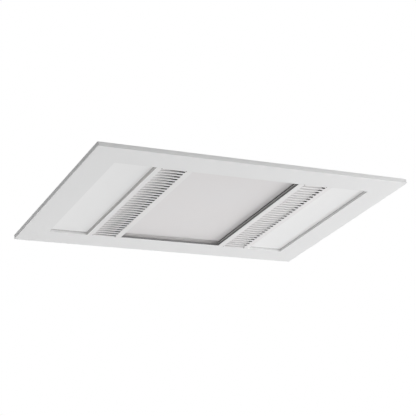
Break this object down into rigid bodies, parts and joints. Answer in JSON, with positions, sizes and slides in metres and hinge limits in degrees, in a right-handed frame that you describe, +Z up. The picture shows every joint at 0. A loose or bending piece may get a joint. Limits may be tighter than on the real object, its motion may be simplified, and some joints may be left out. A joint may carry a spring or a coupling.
{
  "type": "bathroom ceiling heater",
  "caption": "White ceiling unit with radiant heater windows, slotted extract grilles and a light panel in one flat plate, with blower, duct spigot and ceiling clamps behind it.",
  "frame": {"origin": "middle of the ceiling opening, on the underside of the ceiling board, level with the top of the housing flange", "axes": "+X along the plate's long side, +Y across it towards the duct spigot, +Z up into the ceiling"},
  "size_m": [0.55, 0.43, 0.2213],
  "materials": {
    "plate_white": "satin white moulded plastic",
    "grille_white": "warm white moulded plastic",
    "satin_glass": "satin etched glass backed white",
    "opal_diffuser": "opal acrylic",
    "bezel_grey": "pale grey moulded plastic",
    "clear_acrylic": "clear acrylic",
    "circuit_board": "white circuit board",
    "galvanised": "galvanised sheet",
    "zinc_screw": "zinc plated",
    "spring_wire": "bright spring wire",
    "aluminised": "bright rolled aluminium",
    "mill_aluminium": "mill finish",
    "quartz": "clear quartz with white ceramic ends",
    "steatite": "unglazed steatite",
    "phenolic": "black phenolic",
    "blower_black": "black moulded plastic",
    "motor_lamination": "varnished laminations and winding",
    "motor_paint": "dark grey paint",
    "ground_steel": "ground bar",
    "bronze": "sintered bronze",
    "black_rubber": "black rubber",
    "grey_plastic": "light grey moulded plastic",
    "lead_sheath": "white flexible sheath"
  },
  "bodies": {
    "chassis": {"hanger_guides": "grey_plastic", "heater_glass_left": "satin_glass", "heater_glass_right": "satin_glass", "heater_can_left": "galvanised", "heater_can_right": "galvanised", "reflector_left": "aluminised", "reflector_right": "aluminised", "halogen_tube_left": "quartz", "halogen_tube_right": "quartz", "lamp_holders_left": "steatite", "lamp_holders_right": "steatite", "thermal_cutouts": "phenolic", "light_bezel": "bezel_grey", "light_diffuser": "opal_diffuser", "light_guide": "clear_acrylic", "led_strips": "circuit_board", "light_back_plate": "mill_aluminium", "light_screws": "zinc_screw", "hanging_brackets": "galvanised", "scroll_housing": "blower_black", "scroll_base": "blower_black", "motor_stator": "motor_lamination", "motor_casing": "motor_paint", "motor_end_plate": "motor_paint", "motor_bearings": "bronze", "motor_grommets": "black_rubber", "motor_screws": "zinc_screw", "scroll_standoffs": "zinc_screw", "led_driver": "grey_plastic", "top_screws": "zinc_screw", "housing_box": "galvanised", "duct_spigot": "galvanised", "spigot_screws": "zinc_screw", "damper_pin": "ground_steel", "terminal_box": "grey_plastic", "terminal_cover": "grey_plastic", "terminal_cover_screws": "zinc_screw", "terminal_block": "phenolic", "cable_gland": "phenolic", "internal_leads": "lead_sheath", "clamp_brackets": "galvanised"},
    "fascia": {"fascia_frame": "plate_white", "left_grille": "grille_white", "right_grille": "grille_white", "grille_pins": "grille_white", "fascia_hangers": "spring_wire"},
    "impeller": {"impeller": "blower_black", "impeller_nut": "zinc_screw", "motor_shaft": "ground_steel", "motor_rotor": "motor_lamination"},
    "damper_left": {"damper_flap_left": "mill_aluminium"},
    "damper_right": {"damper_flap_right": "mill_aluminium"},
    "clamp_screw_1": {"clamp_screw_1": "zinc_screw"},
    "clamp_dog_1": {"clamp_dog_1": "grey_plastic"},
    "clamp_screw_2": {"clamp_screw_2": "zinc_screw"},
    "clamp_dog_2": {"clamp_dog_2": "grey_plastic"},
    "clamp_screw_3": {"clamp_screw_3": "zinc_screw"},
    "clamp_dog_3": {"clamp_dog_3": "grey_plastic"},
    "clamp_screw_4": {"clamp_screw_4": "zinc_screw"},
    "clamp_dog_4": {"clamp_dog_4": "grey_plastic"}
  },
  "joints": [
    {"name": "fascia_drop", "type": "slide", "parent": "chassis", "child": "fascia", "axis": [0, 0, 1], "range_m": [-0.06, 0]},
    {"name": "impeller_spin", "type": "hinge", "parent": "chassis", "child": "impeller", "pos_m": [-0.015, -0.01501, 0.12], "axis": [0, 0, 1], "continuous": true},
    {"name": "damper_left_swing", "type": "hinge", "parent": "chassis", "child": "damper_left", "pos_m": [0.07629, 0.185, 0.0892], "axis": [0, 0, -1], "range_deg": [0, 75], "stiffness_Nm_per_rad": 0.002, "springref_deg": -8.59},
    {"name": "damper_right_swing", "type": "hinge", "parent": "chassis", "child": "damper_right", "pos_m": [0.07629, 0.185, 0.0892], "axis": [0, 0, 1], "range_deg": [0, 75], "stiffness_Nm_per_rad": 0.002, "springref_deg": -8.59},
    {"name": "clamp_swing_1", "type": "hinge", "parent": "chassis", "child": "clamp_screw_1", "pos_m": [0.2432, 0.164, 0.015], "axis": [0, 0, 1], "range_deg": [-90, 0]},
    {"name": "clamp_climb_1", "type": "slide", "parent": "clamp_screw_1", "child": "clamp_dog_1", "axis": [0, 0, 1], "range_m": [0, 0.02]},
    {"name": "clamp_swing_2", "type": "hinge", "parent": "chassis", "child": "clamp_screw_2", "pos_m": [-0.2432, 0.164, 0.015], "axis": [0, 0, 1], "range_deg": [0, 90]},
    {"name": "clamp_climb_2", "type": "slide", "parent": "clamp_screw_2", "child": "clamp_dog_2", "axis": [0, 0, 1], "range_m": [0, 0.02]},
    {"name": "clamp_swing_3", "type": "hinge", "parent": "chassis", "child": "clamp_screw_3", "pos_m": [-0.2432, -0.164, 0.015], "axis": [0, 0, 1], "range_deg": [-90, 0]},
    {"name": "clamp_climb_3", "type": "slide", "parent": "clamp_screw_3", "child": "clamp_dog_3", "axis": [0, 0, 1], "range_m": [0, 0.02]},
    {"name": "clamp_swing_4", "type": "hinge", "parent": "chassis", "child": "clamp_screw_4", "pos_m": [0.2432, -0.164, 0.015], "axis": [0, 0, 1], "range_deg": [0, 90]},
    {"name": "clamp_climb_4", "type": "slide", "parent": "clamp_screw_4", "child": "clamp_dog_4", "axis": [0, 0, 1], "range_m": [0, 0.02]}
  ]
}
